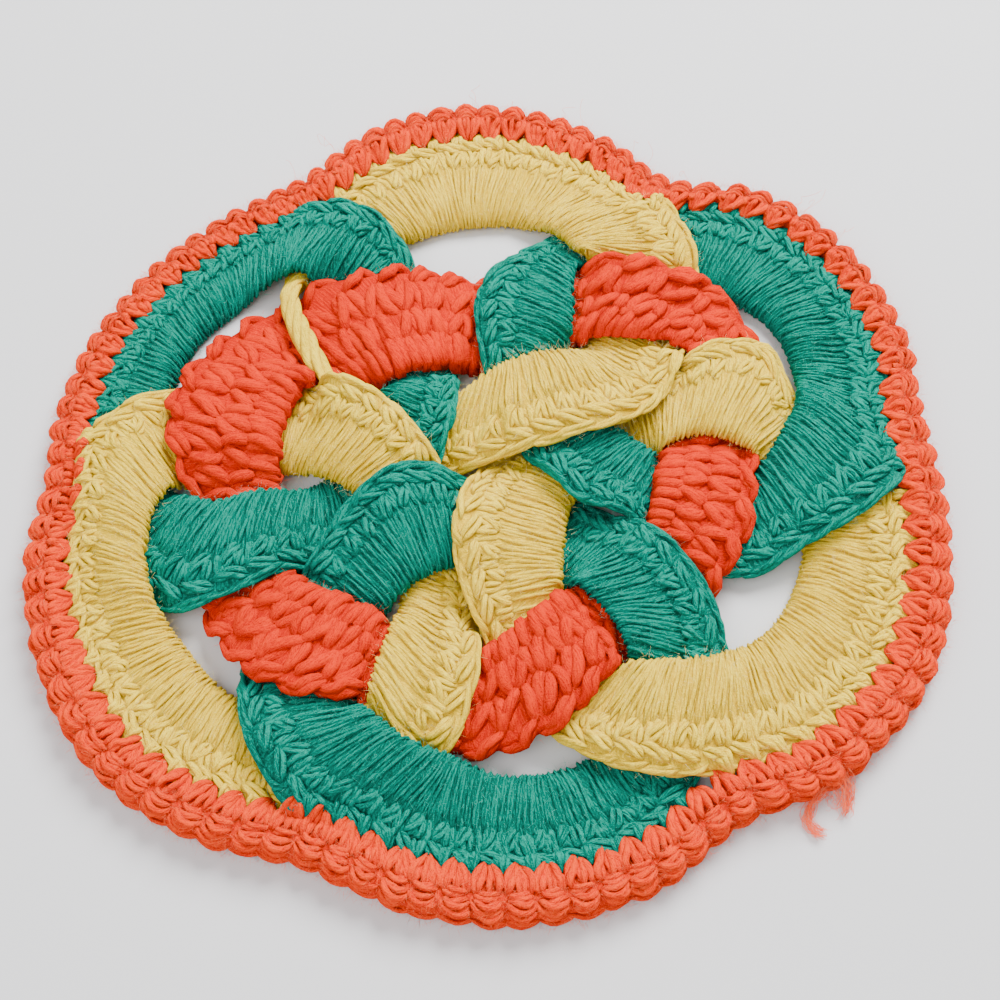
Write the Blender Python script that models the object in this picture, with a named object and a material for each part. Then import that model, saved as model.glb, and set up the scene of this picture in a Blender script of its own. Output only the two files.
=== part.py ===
"""Crocheted pot holder: six crocheted rings interlaced round a middle ring, held by a crocheted border.

Lengths in the tables are millimetres and angles are degrees, anticlockwise from +X seen from above.
Each ring is a soft flat band. A ring's plan is a short table of sections round its own centre, and its
height is worked out from which band lies on which: a band sinks under its weight until it meets the
floor or the band below it. The tables' own origin is near the object's middle, and CENTRE is that middle,
which becomes the object's origin, on the floor.
"""

import bpy
import numpy as np
from mathutils.bvhtree import BVHTree

MM = 0.001
CENTRE = (0.24, -0.76)
CREASE_ANGLE = 50.0  # faces that meet at more than this stay sharp

# One row for each outer ring: centre, then colour. They are listed clockwise from the far side.
# Each ring lies on the next two clockwise, and the last is followed by the first.
RING_COLUMNS = ("name", "x", "y", "yarn")
RINGS = [
    ("ring_top_cream", 0.5, 45.0, "cream"),
    ("ring_right_green", 45.0, 23.0, "green"),
    ("ring_lowright_cream", 42.5, -22.0, "cream"),
    ("ring_bottom_green", 0.5, -48.0, "green"),
    ("ring_left_cream", -46.0, -28.0, "cream"),
    ("ring_topleft_green", -47.0, 17.5, "green"),
]
MIDDLE_RING = ("ring_middle_orange", -4.0, -9.0, "orange")

# Sections of each ring round its own centre: angle, inner radius, outer radius.
# The top ring narrows to its bare core strand between 184 and 222 degrees.
SECTION_COLUMNS = ("angle", "inner", "outer")
SECTIONS = {
    "ring_top_cream": [
        (2, 21.8, 48.0), (20, 20.0, 48.0), (40, 20.2, 48.5), (65, 20.8, 49.0), (92, 20.0, 49.0),
        (120, 21.5, 48.0), (142, 25.0, 47.5), (163, 33.0, 47.5), (182, 44.4, 49.6), (202, 43.8, 48.8),
        (220, 43.2, 48.4), (238, 34.0, 49.5), (256, 28.0, 50.5), (272, 25.0, 48.8), (290, 24.2, 48.6),
        (315, 26.7, 51.0), (331, 24.9, 48.0), (346, 23.1, 47.5),
    ],
    "ring_right_green": [
        (0, 24.5, 49.5), (30, 24.0, 50.0), (60, 23.0, 49.0), (88, 24.0, 46.5), (112, 29.0, 45.0),
        (137, 33.2, 49.5), (157, 27.8, 51.0), (183, 26.9, 46.0), (213, 25.5, 44.8), (234, 24.5, 45.2),
        (250, 25.0, 42.9), (265, 27.0, 47.0), (280, 29.5, 52.0), (295, 29.8, 51.0), (318, 26.6, 52.2),
        (330, 25.9, 53.5), (343, 25.2, 50.0),
    ],
    "ring_lowright_cream": [
        (0, 25.2, 50.5), (15, 25.5, 49.0), (38, 27.5, 45.8), (55, 26.6, 46.5), (67, 26.0, 53.5),
        (78, 25.2, 49.0), (90, 24.2, 43.8), (112, 22.5, 46.0), (136, 24.0, 47.0), (160, 26.0, 48.0),
        (182, 26.3, 49.6), (205, 29.5, 48.3), (225, 31.5, 49.5), (243, 32.0, 52.0), (261, 28.0, 51.5),
        (286, 25.5, 49.0), (315, 24.3, 51.0), (340, 24.2, 50.5),
    ],
    "ring_bottom_green": [
        (6, 27.0, 49.0), (27, 23.6, 45.3), (45, 21.4, 42.6), (70, 21.0, 41.5), (97, 21.0, 41.0),
        (115, 21.2, 44.3), (134, 22.5, 44.5), (155, 24.2, 44.3), (185, 28.5, 51.0), (208, 27.0, 51.0),
        (232, 24.3, 49.5), (255, 22.3, 46.5), (278, 23.7, 47.0), (298, 26.0, 48.0), (318, 28.3, 48.5),
        (340, 29.0, 47.5),
    ],
    "ring_left_cream": [
        (10, 26.0, 42.2), (32, 25.0, 42.0), (52, 23.5, 43.0), (74, 23.5, 44.6), (97, 26.0, 47.0),
        (120, 29.0, 49.8), (141, 29.2, 53.5), (153, 28.7, 55.0), (168, 27.0, 51.0), (190, 25.3, 48.0),
        (222, 23.7, 48.5), (246, 26.0, 50.0), (268, 29.5, 51.5), (288, 34.5, 53.0), (304, 36.0, 54.5),
        (315, 32.5, 54.5), (328, 29.8, 51.3), (345, 28.0, 45.0),
    ],
    "ring_topleft_green": [
        (5, 24.0, 39.5), (25, 27.0, 40.5), (43, 32.0, 42.4), (60, 32.0, 48.3), (74, 28.4, 51.0),
        (88, 28.8, 51.0), (102, 27.8, 50.5), (122, 25.2, 46.5), (142, 24.5, 44.5), (165, 24.3, 44.5),
        (182, 25.5, 46.0), (205, 30.5, 49.0), (228, 33.5, 54.0), (249, 32.5, 57.6), (263, 28.5, 52.2),
        (280, 26.3, 45.0), (305, 24.0, 45.0), (333, 22.5, 41.1),
    ],
    "ring_middle_orange": [
        (5, 41.0, 61.4), (14, 44.5, 66.0), (24, 52.5, 73.0), (34, 59.5, 76.3), (44, 52.8, 74.5),
        (58, 44.6, 66.5), (75, 35.0, 58.0), (90, 31.5, 56.6), (113, 30.0, 59.6), (130, 32.5, 66.3),
        (150, 43.3, 69.6), (166, 43.0, 67.6), (184, 41.5, 60.3), (209, 42.0, 62.2), (228, 36.8, 61.0),
        (245, 35.2, 53.9), (268, 38.5, 58.5), (288, 34.0, 56.7), (305, 32.5, 51.6), (326, 34.0, 53.5),
        (346, 38.2, 59.0),
    ],
}

# The border: angle round the origin, reach of its outer edge, width across.
BORDER_COLUMNS = ("angle", "reach", "width")
BORDER = [
    (6, 97.6, 6.8), (18, 100.8, 6.0), (35, 101.4, 5.6), (48, 97.6, 6.0), (60, 87.8, 6.6),
    (73, 93.8, 7.0), (90, 99.4, 7.4), (106, 97.0, 7.2), (121, 89.2, 6.4), (136, 91.3, 5.4),
    (155, 95.3, 5.2), (174, 97.4, 6.4), (185, 97.6, 7.2), (196, 102.5, 7.6), (216, 106.2, 7.8),
    (226, 105.4, 8.0), (238, 101.2, 8.4), (248, 96.8, 8.6), (262, 99.8, 8.4), (277, 101.2, 8.2),
    (290, 99.6, 8.2), (302, 95.6, 8.4), (314, 101.6, 8.2), (333, 104.4, 7.8), (351, 100.4, 7.2),
]
BORDER_STITCHES = 100
STEPS_PER_STITCH = 2
BORDER_STITCH_SWELL = 0.5
# Across the border, from its inner edge over the top and back along the floor. Every stitch's middle
# swells out and up by its share of the swell.
BORDER_SECTION_COLUMNS = ("across", "height", "swell_out", "swell_up")
BORDER_SECTION = [
    (0.0, 3.0, 0, 0), (0.1, 5.6, 0, 1), (0.5, 6.7, 0, 1), (0.84, 5.9, 1, 1), (1.0, 3.0, 1, 0),
    (0.88, 0.0, 1, 0), (0.1, 0.0, 0, 0),
]

# The border yarn's frayed end, on the floor beside the border: its middle line, and how thick it is there.
TAIL_COLUMNS = ("x", "y", "thickness")
TAIL = [
    (64.3, -78.6, 2.5), (63.8, -80.8, 2.8), (64.8, -82.8, 2.8), (66.6, -83.6, 2.6), (68.4, -83.0, 2.1),
    (69.2, -81.4, 1.4),
]

# Across a band, from its inner edge to its outer edge: place, rise of the top, drop of the bottom.
BAND_COLUMNS = ("across", "rise", "drop")
BAND = [(0.0, 0.0, 0.0), (0.06, 2.1, 2.2), (0.25, 3.3, 2.7), (0.55, 2.9, 2.7), (0.95, 1.9, 2.0), (1.0, 0.0, 0.0)]
SMALLEST_BAND = 6.0  # a band narrower than this is a strand, thinner in proportion to its width
CLEARANCE = 0.8  # between two bands that cross, allowing for flat facets
EDGE_MARGIN = 0.02  # share of a band's width by which a band beside it counts as crossing it
BORDER_CLEARANCE = 0.35  # between a ring's edge and the border
REACH_SEARCHED = (30.0, 80.0, 201)  # from, to and how many places, where a ring's edge may meet the border
SEWN_HEIGHT = 3.0  # where the border holds the edge of a ring that lies on the floor

# Where three bands meet and each lies on the next, none can fill the spot: their edges draw in.
DRAW_IN_PASSES = 40
DRAW_IN_STEP = 0.3
FADE_STEPS = 3
CORNER_GAP = 0.8
CORNER_SAMPLES = 25  # across each band, when its crowded spots are looked for

# Facets that would still come too close are thinned.
FACET_GAP = 0.17
PRESS = 0.93
PRESS_PASSES = 40

# How finely a band is cut up while its height is worked out.
STEPS_ROUND = 144
STEPS_PER_SECTION = 2
STEPS_ACROSS = 9
SETTLING_ROUNDS = 900
LAST_ROUNDS = 60  # in these nothing sinks or evens out, and only the gaps are kept
SINK = 0.01  # each round
EVENNESS = 0.45  # share of a point's offset from its neighbours that each round evens out
HOLD = 0.1  # share of a sewn edge's offset from the border that each round takes away
SMALL_SHARE = 0.02  # a grid point with less of a place than this isn't moved by it

YARNS = {
    "cream": ((0.72, 0.56, 0.27), 0.9),
    "green": ((0.01, 0.26, 0.16), 0.9),
    "orange": ((0.86, 0.10, 0.03), 0.9),
    "coral": ((0.88, 0.17, 0.06), 0.9),
}


def clear_scene():
    for obj in list(bpy.data.objects):
        bpy.data.objects.remove(obj, do_unlink=True)


def yarn_material(name):
    colour, roughness = YARNS[name]
    material = bpy.data.materials.new("yarn_" + name)
    material.use_nodes = True
    shader = material.node_tree.nodes["Principled BSDF"]
    shader.inputs["Base Color"].default_value = (*colour, 1.0)
    shader.inputs["Roughness"].default_value = roughness
    shader.inputs["Metallic"].default_value = 0.0
    return material


def table(rows, columns):
    """A table as one array for each named column."""
    return dict(zip(columns, np.array(rows, float).T))


def read_round(rows, name, angles):
    """A column of a table at any angles, in degrees, on a smooth closed curve through the table's rows."""
    at, value = rows["angle"], rows[name]
    first = at[0]
    at = np.concatenate([at[-2:] - 360, at, at[:2] + 360])
    value = np.concatenate([value[-2:], value, value[:2]])
    slope = (value[2:] - value[:-2]) / (at[2:] - at[:-2])
    angles = np.mod(np.asarray(angles, float) - first, 360) + first
    low = np.clip(np.searchsorted(at, angles, side="right") - 1, 1, len(at) - 3)
    span = at[low + 1] - at[low]
    t = (angles - at[low]) / span
    return (
        value[low] * (2 * t**3 - 3 * t**2 + 1)
        + slope[low - 1] * span * (t**3 - 2 * t**2 + t)
        + value[low + 1] * (3 * t**2 - 2 * t**3)
        + slope[low] * span * (t**3 - t**2)
    )


def border_edges(angles):
    """The border's inner and outer edge at any angles round the origin."""
    border = table(BORDER, BORDER_COLUMNS)
    outer = read_round(border, "reach", angles)
    return outer - read_round(border, "width", angles), outer


class Band:
    """A ring's plan in polar coordinates round its own centre, and the heights of its middle surface."""

    def __init__(self, name, x, y, yarn):
        self.name, self.x, self.y, self.yarn = name, x, y, yarn
        self.angles = np.arange(STEPS_ROUND) * 360 / STEPS_ROUND
        self.across = np.linspace(0, 1, STEPS_ACROSS)
        sections = table(SECTIONS[name], SECTION_COLUMNS)
        wanted, room = read_round(sections, "outer", self.angles), self.room()
        self.sewn = wanted > room
        self.set_edges(read_round(sections, "inner", self.angles), np.minimum(wanted, room))
        self.z = self.drop.copy()

    def room(self):
        """How far out the ring can reach at each of its angles before it meets the border."""
        reach = np.linspace(*REACH_SEARCHED)
        turn = np.radians(self.angles)[:, None]
        x, y = self.x + reach * np.cos(turn), self.y + reach * np.sin(turn)
        inside = np.hypot(x, y) < border_edges(np.degrees(np.arctan2(y, x)))[0] - BORDER_CLEARANCE
        return reach[np.argmin(np.c_[inside, np.zeros(len(inside), bool)], axis=1) - 1]

    def set_edges(self, inner, outer):
        self.inner, self.outer = inner, outer
        width = outer - inner
        self.fullness = np.clip(width / SMALLEST_BAND, 0, 1)
        section = table(BAND, BAND_COLUMNS)
        place = section["across"]
        blunt = np.clip(self.across, place[1], place[-2])
        self.rise = np.outer(self.fullness, np.interp(blunt, place, section["rise"]))
        self.drop = np.outer(self.fullness, np.interp(blunt, place, section["drop"]))
        radius = inner[:, None] + width[:, None] * self.across
        turn = np.radians(self.angles)[:, None]
        self.px = self.x + radius * np.cos(turn)
        self.py = self.y + radius * np.sin(turn)

    def place(self, x, y):
        """Where points of the plan are on this band: steps round it, and the share of the way across."""
        dx, dy = x - self.x, y - self.y
        step = np.mod(np.degrees(np.arctan2(dy, dx)), 360) * STEPS_ROUND / 360
        low = np.floor(step).astype(int) % STEPS_ROUND
        high, part = (low + 1) % STEPS_ROUND, step - np.floor(step)
        inner = self.inner[low] * (1 - part) + self.inner[high] * part
        outer = self.outer[low] * (1 - part) + self.outer[high] * part
        return step, (np.hypot(dx, dy) - inner) / (outer - inner)

    def even_out(self):
        """Draws each point towards its neighbours, and a sewn edge towards the border."""
        z = self.z
        along = (np.roll(z, 1, axis=0) + np.roll(z, -1, axis=0)) / 2 - z
        wide = np.pad(z, ((0, 0), (1, 1)), mode="reflect", reflect_type="odd")
        sideways = (wide[:, 2:] + wide[:, :-2]) / 2 - z
        self.z = z + EVENNESS * (along + sideways) / 2 - SINK
        self.z[self.sewn, -1] += HOLD * (SEWN_HEIGHT - self.z[self.sewn, -1])


def steps_clockwise(first, second):
    """How many places clockwise the second outer ring is from the first, or None with the middle ring."""
    names = [row[0] for row in RINGS]
    if first.name not in names or second.name not in names:
        return None
    return (names.index(second.name) - names.index(first.name)) % len(names)


def opposite(first, second):
    return steps_clockwise(first, second) == len(RINGS) // 2


def lies_over(first, second, x, y):
    """Whether the first band is the upper one of the two, at points of the plan.

    An outer ring lies on the next two clockwise. It crosses over the middle ring on its own
    anticlockwise side and under it on its clockwise side.
    """
    ahead = steps_clockwise(first, second)
    if ahead is not None:
        return np.full(np.shape(x), ahead in (1, 2))
    ring = second if first.name == MIDDLE_RING[0] else first
    anticlockwise = ring.x * (y - ring.y) - ring.y * (x - ring.x) > 0
    return anticlockwise if ring is first else ~anticlockwise


def crowded(band, bands):
    """Whether each step of the band has a spot, by its inner and by its outer edge, that it can't share.

    Such a spot also holds two more bands, each of the three lying on the next, or it holds an opposite ring.
    """
    share = np.linspace(0, 1, CORNER_SAMPLES)
    steps = np.arange(2 * STEPS_ROUND) / 2
    turn = np.radians(steps * 360 / STEPS_ROUND)[:, None]
    low = steps.astype(int)
    high = (low + (steps > low)) % STEPS_ROUND
    inner, outer = [(edge[low] + edge[high])[:, None] / 2 for edge in (band.inner, band.outer)]
    radius = inner + (outer - inner) * share
    x, y = band.x + radius * np.cos(turn), band.y + radius * np.sin(turn)
    others = [other for other in bands if other is not band]
    covers = {}
    for other in others:
        across = other.place(x, y)[1]
        slack = CORNER_GAP / (other.outer - other.inner).mean()
        covers[other.name] = (across > -slack) & (across < 1 + slack)
    found = np.zeros(x.shape, bool)
    for lower in others:
        if opposite(band, lower):
            found |= covers[lower.name]
            continue
        for lowest in others:
            if lowest is lower or opposite(lower, lowest) or opposite(lowest, band):
                continue
            circle = lies_over(band, lower, x, y) & lies_over(lower, lowest, x, y) & lies_over(lowest, band, x, y)
            found |= covers[lower.name] & covers[lowest.name] & circle
    found = found[0::2] | found[1::2] | np.roll(found[1::2], 1, axis=0)
    half = CORNER_SAMPLES // 2
    return found[:, :half].any(axis=1), found[:, half:].any(axis=1)


def widened(steps):
    """Lets a retreat of the edge fade out along the band."""
    steps = steps.astype(float)
    for _ in range(FADE_STEPS):
        steps = np.maximum(steps, (np.roll(steps, 1) + np.roll(steps, -1)) / 2)
    return steps


def draw_in(bands):
    """Moves the nearer edge of every crowded stretch back a little at a time."""
    for _ in range(DRAW_IN_PASSES):
        spots = [crowded(band, bands) for band in bands]
        for band, (inner, outer) in zip(bands, spots):
            band.set_edges(band.inner + DRAW_IN_STEP * widened(inner), band.outer - DRAW_IN_STEP * widened(outer))
        if not np.any(spots):
            break


def grid_corners(step, across):
    """The four grid points round a place on a band, and the share of each."""
    column = across * (STEPS_ACROSS - 1)
    low, left = np.floor(step).astype(int), np.clip(column.astype(int), 0, STEPS_ACROSS - 2)
    t, u = step - low, column - left
    rows = np.stack([low, low, low + 1, low + 1]) % STEPS_ROUND
    columns = np.stack([left, left + 1, left, left + 1])
    return rows, columns, np.stack([(1 - t) * (1 - u), (1 - t) * u, t * (1 - u), t * u])


class Meeting:
    """One band's points over or under another band, and the room that they need between their middles."""

    def __init__(self, sampled, other, sampled_is_upper):
        self.sampled, self.other, self.way = sampled, other, 1 if sampled_is_upper else -1
        step, across = other.place(sampled.px, sampled.py)
        over = lies_over(sampled, other, sampled.px, sampled.py)
        on = (across > -EDGE_MARGIN) & (across < 1 + EDGE_MARGIN) & (over == sampled_is_upper)
        self.at = np.nonzero(on)
        self.rows, self.columns, self.shares = grid_corners(step[on], np.clip(across[on], 0, 1))
        mine, theirs = (sampled.drop, other.rise) if sampled_is_upper else (sampled.rise, other.drop)
        self.room = mine[self.at] + (theirs[self.rows, self.columns] * self.shares).sum(0) + CLEARANCE

    def part(self):
        """Moves the two bands apart, half the missing room each."""
        apart = self.sampled.z[self.at] - (self.other.z[self.rows, self.columns] * self.shares).sum(0)
        lacking = np.clip(self.room - self.way * apart, 0, None) / 2
        self.sampled.z[self.at] += self.way * lacking
        push = np.zeros_like(self.other.z)
        reached = np.where(self.shares > SMALL_SHARE, lacking, 0)
        np.maximum.at(push, (self.rows, self.columns), reached)
        self.other.z -= self.way * push


def settle(bands):
    """Works the heights out. Each band sinks and evens out, and is kept off the floor and off the others."""
    pairs = [(a, b) for a in bands for b in bands if a is not b and not opposite(a, b)]
    meetings = [Meeting(a, b, upper) for a, b in pairs for upper in (True, False)]
    for count in range(SETTLING_ROUNDS):
        for band in bands:
            if count < SETTLING_ROUNDS - LAST_ROUNDS:
                band.even_out()
        for meeting in meetings:
            meeting.part()
        for band in bands:
            band.z = np.maximum(band.z, band.drop)


def mesh_object(name, points, faces, material, collection):
    mesh = bpy.data.meshes.new(name)
    mesh.from_pydata(((points - (*CENTRE, 0)) * MM).tolist(), [], faces)
    mesh.validate()
    mesh.shade_smooth()
    mesh.set_sharp_from_angle(angle=np.radians(CREASE_ANGLE))
    obj = bpy.data.objects.new(name, mesh)
    obj.data.materials.append(material)
    collection.objects.link(obj)
    return obj


def closed_loop_faces(sections, points_each):
    """Pairs of triangles between each section and the next, closed both ways."""
    faces = []
    for s in range(sections):
        for p in range(points_each):
            here, there = s * points_each, ((s + 1) % sections) * points_each
            q = (p + 1) % points_each
            faces += [(here + p, here + q, there + q), (here + p, there + q, there + p)]
    return faces


def section_path():
    """The order of a section's points: the top from the inner edge to the outer edge, then the bottom back."""
    last = len(BAND) - 1
    return np.array(list(range(last + 1)) + list(range(last - 1, 0, -1)))


def band_points(band, grown=0.0):
    """The band's points, section after section, each section grown up, down and sideways by a little."""
    section = table(BAND, BAND_COLUMNS)
    place = section["across"]
    rounds = np.arange(0, STEPS_ROUND, STEPS_PER_SECTION)
    inner, outer = band.inner[rounds, None] - grown, band.outer[rounds, None] + grown
    radius = inner + (outer - inner) * place
    height = np.array([np.interp(place, band.across, row) for row in band.z[rounds]])
    body = band.fullness[rounds, None] * band.pressed
    path = section_path()
    on_top = np.arange(len(path)) < len(BAND)
    edge = (path > 0) & (path < len(BAND) - 1)
    top, bottom = height + section["rise"] * body, np.maximum(height - section["drop"] * body, 0)
    z = np.where(on_top, top[:, path] + grown * edge, bottom[:, path] - grown * edge)
    turn = np.radians(band.angles[rounds])[:, None]
    x, y = band.x + radius[:, path] * np.cos(turn), band.y + radius[:, path] * np.sin(turn)
    return np.stack([x, y, z], axis=-1).reshape(-1, 3)


def press_flat(bands):
    """Thins two bands a little at a time wherever their facets would still come too close at a corner."""
    path = section_path()
    sections = STEPS_ROUND // STEPS_PER_SECTION
    faces = closed_loop_faces(sections, len(path))
    for band in bands:
        band.pressed = np.ones((sections, len(BAND)))
    for _ in range(PRESS_PASSES):
        trees = [BVHTree.FromPolygons(band_points(band, FACET_GAP).tolist(), faces) for band in bands]
        touched = {band.name: set() for band in bands}
        for a, first in enumerate(bands):
            for b in range(a + 1, len(bands)):
                for mine, theirs in trees[a].overlap(trees[b]):
                    touched[first.name].update(faces[mine])
                    touched[bands[b].name].update(faces[theirs])
        for band in bands:
            points = np.array(sorted(touched[band.name]), int)
            spots = np.zeros(band.pressed.shape, bool)
            spots[points // len(path), path[points % len(path)]] = True
            band.pressed[spots] *= PRESS
        if not any(touched.values()):
            break


def band_mesh(band, collection, materials):
    faces = closed_loop_faces(STEPS_ROUND // STEPS_PER_SECTION, len(section_path()))
    return mesh_object(band.name, band_points(band), faces, materials[band.yarn], collection)


def border_mesh(collection, materials):
    """A chunky rim of one stitch after another, wider and higher at the middle of each stitch."""
    steps = BORDER_STITCHES * STEPS_PER_STITCH
    angles = np.arange(steps)[:, None] * 360 / steps
    inner, outer = border_edges(angles)
    section = table(BORDER_SECTION, BORDER_SECTION_COLUMNS)
    swell = np.where(np.arange(steps) % STEPS_PER_STITCH == 0, BORDER_STITCH_SWELL, 0)[:, None]
    radius = inner + (outer - inner) * section["across"] + swell * section["swell_out"]
    height = section["height"] + swell * section["swell_up"]
    turn = np.radians(angles)
    points = np.stack([radius * np.cos(turn), radius * np.sin(turn), height], axis=-1)
    faces = closed_loop_faces(steps, len(BORDER_SECTION))
    return mesh_object("border_orange", points.reshape(-1, 3), faces, materials["coral"], collection)


def yarn_end(collection, materials):
    """A thick short yarn on the floor, tapering to its curled tip."""
    curve = bpy.data.curves.new("border_yarn_end", "CURVE")
    curve.dimensions = "3D"
    curve.bevel_depth = MM / 2
    curve.bevel_resolution = 2
    curve.use_fill_caps = True
    spline = curve.splines.new("POLY")
    spline.points.add(len(TAIL) - 1)
    tail = table(TAIL, TAIL_COLUMNS)
    for point, x, y, thickness in zip(spline.points, tail["x"], tail["y"], tail["thickness"]):
        point.co = ((x - CENTRE[0]) * MM, (y - CENTRE[1]) * MM, thickness / 2 * MM, 1.0)
        point.radius = thickness
    obj = bpy.data.objects.new("border_yarn_end", curve)
    curve.materials.append(materials["coral"])
    collection.objects.link(obj)


def main():
    clear_scene()
    collection = bpy.data.collections.new("crocheted_pot_holder")
    bpy.context.scene.collection.children.link(collection)
    materials = {name: yarn_material(name) for name in YARNS}
    bands = [Band(**dict(zip(RING_COLUMNS, row))) for row in RINGS + [MIDDLE_RING]]
    draw_in(bands)
    settle(bands)
    press_flat(bands)
    for band in bands:
        band_mesh(band, collection, materials)
    border_mesh(collection, materials)
    yarn_end(collection, materials)


main()
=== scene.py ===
import math

import bpy
import numpy as np
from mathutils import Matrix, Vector
from mathutils.bvhtree import BVHTree


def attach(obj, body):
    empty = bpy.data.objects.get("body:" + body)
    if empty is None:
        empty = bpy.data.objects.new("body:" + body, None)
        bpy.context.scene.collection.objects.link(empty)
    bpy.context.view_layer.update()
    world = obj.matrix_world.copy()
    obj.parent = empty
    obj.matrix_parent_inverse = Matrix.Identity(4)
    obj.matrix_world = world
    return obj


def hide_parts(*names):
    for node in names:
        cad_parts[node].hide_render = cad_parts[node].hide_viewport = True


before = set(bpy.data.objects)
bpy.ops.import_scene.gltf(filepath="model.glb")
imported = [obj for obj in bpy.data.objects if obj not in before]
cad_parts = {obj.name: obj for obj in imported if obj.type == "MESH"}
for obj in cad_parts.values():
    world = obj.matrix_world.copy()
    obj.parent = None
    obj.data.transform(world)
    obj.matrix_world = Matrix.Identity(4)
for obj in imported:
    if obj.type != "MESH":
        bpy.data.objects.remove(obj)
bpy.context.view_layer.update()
mm = 0.001
chance = np.random.default_rng(11)


def spread(low, high, shape):
    # even random numbers between low and high, the same ones in each run
    return chance.uniform(low, high, shape)


class Wire:
    # a socket whose + - * make Math nodes
    def __init__(self, graph, socket):
        self.graph, self.socket = graph, socket

    def math(self, operation, first, second):
        # one Math node: first operation second
        return self.graph.node("ShaderNodeMath", {"operation": operation}, {0: first, 1: second})

    def __add__(self, other): return self.math("ADD", self, other)
    def __radd__(self, other): return self.math("ADD", other, self)
    def __sub__(self, other): return self.math("SUBTRACT", self, other)
    def __rsub__(self, other): return self.math("SUBTRACT", other, self)
    def __mul__(self, other): return self.math("MULTIPLY", self, other)
    def __rmul__(self, other): return self.math("MULTIPLY", other, self)


class Graph:
    # one material's node tree
    def __init__(self, name):
        self.material = bpy.data.materials.new(name)
        self.material.use_nodes = True
        self.tree = self.material.node_tree
        self.shader = self.tree.nodes["Principled BSDF"]

    def put(self, socket, value):
        # a link for a Wire, else the value on the socket itself
        if isinstance(value, Wire):
            self.tree.links.new(value.socket, socket)
        else:
            socket.default_value = value

    def node(self, kind, settings=None, sockets=None, out=0):
        # any node: its type, its settings, what its sockets take, and which output to hand on
        node = self.tree.nodes.new(kind)
        for name, value in (settings or {}).items():
            if name == "stops":
                for stop, (place, colour) in zip(node.color_ramp.elements, value):
                    stop.position, stop.color = place, colour
            else:
                setattr(node, name, value)
        for name, value in (sockets or {}).items():
            self.put(node.inputs[name], value)
        return Wire(self, node.outputs[out])

    def mix(self, share, first, second):
        # colour = first * (1 - share) + second * share
        return self.node("ShaderNodeMix", {"data_type": "RGBA"}, {0: share, 6: first, 7: second}, out=2)


# the paler colour of each yarn is painted light: loose fibres made paler for the light that shines through
# them
yarns = {
    "cream": {"light": (1.0, 0.73, 0.06), "main": (0.86, 0.575, 0.024), "dark": (0.68, 0.43, 0.012),
              "sheen": 0.2, "pale": (1.0, 0.90, 0.50)},
    "green": {"light": (0.0, 0.30, 0.21), "main": (0.0, 0.195, 0.135), "dark": (0.0, 0.09, 0.06),
              "sheen": 0.04, "pale": (0.12, 0.60, 0.46)},
    "orange": {"light": (0.82, 0.032, 0.0), "main": (0.72, 0.020, 0.0), "dark": (0.54, 0.009, 0.0),
               "sheen": 0.0, "pale": (1.0, 0.11, 0.03)},
    "coral": {"light": (0.98, 0.070, 0.004), "main": (0.86, 0.043, 0.001), "dark": (0.66, 0.018, 0.0),
              "sheen": 0.08, "pale": (1.0, 0.26, 0.12)},
}
fibres = {"alongPerMm": 0.5, "acrossPerMm": 4.2, "slant": 0.2, "bump": 1.0, "bumpDepth": 0.0005}


def rgba(colour):
    # the colour with alpha 1
    return (*colour, 1.0)


def yarnMaterial(name, values):
    # fibre streaks, slanted a little across the strand: noise(u * along, (v + slant * u) * across)
    graph = Graph(name)
    uv = graph.node("ShaderNodeUVMap", {"uv_map": "strand"})
    split = graph.node("ShaderNodeSeparateXYZ", {}, {0: uv})
    along, around = split, Wire(graph, split.socket.node.outputs[1])
    turned = around + along * fibres["slant"]
    place = graph.node("ShaderNodeCombineXYZ", {},
                       {0: along * fibres["alongPerMm"], 1: turned * fibres["acrossPerMm"]})
    streak = graph.node("ShaderNodeTexNoise", {},
                        {"Vector": place, "Scale": 1.0, "Detail": 3.0, "Roughness": 0.62})
    where = graph.node("ShaderNodeTexCoord", {}, {}, out=3)
    cloud = graph.node("ShaderNodeTexNoise", {}, {"Vector": where, "Scale": 210.0, "Detail": 2.0})
    felt = graph.node("ShaderNodeTexNoise", {}, {"Vector": where, "Scale": 3600.0, "Detail": 2.0})
    tone = graph.node("ShaderNodeAttribute", {"attribute_name": "tone"}, {}, out=2)
    shade = graph.node("ShaderNodeAttribute", {"attribute_name": "shade"}, {}, out=2)
    # level = a weighted sum of the three noises, the strand's own tone and its painted shade, which darkens
    # the strand's underside and the cloth and lightens the strand's top
    level = ((streak - 0.5) * 4.2 + (cloud - 0.5) * 0.6 + (felt - 0.5) * 2.2 + (tone - 0.5) * 0.3
             + shade * 0.25 + 0.47)
    ends = [(0.0, rgba(values["dark"])), (1.0, rgba(values["light"]))]
    ramp = graph.node("ShaderNodeValToRGB", {"stops": ends}, {0: level})
    ramp.socket.node.color_ramp.elements.new(0.5).color = rgba(values["main"])
    graph.put(graph.shader.inputs["Base Color"], ramp)
    graph.put(graph.shader.inputs["Roughness"], 0.88)
    graph.put(graph.shader.inputs["Specular IOR Level"], 0.06)
    graph.put(graph.shader.inputs["Sheen Weight"], values["sheen"])
    graph.put(graph.shader.inputs["Sheen Roughness"], 0.5)
    graph.put(graph.shader.inputs["Sheen Tint"], rgba(values["light"]))
    # the bump's height is the same streak and felt noise that sets the colour level, so the low parts are
    # darker too: partly the fibres' own streaks, partly painted shade in the grooves
    bump = graph.node("ShaderNodeBump", {}, {"Strength": fibres["bump"], "Distance": fibres["bumpDepth"],
                                             "Height": streak + felt * 0.8})
    graph.put(graph.shader.inputs["Normal"], bump)
    return graph.material


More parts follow.
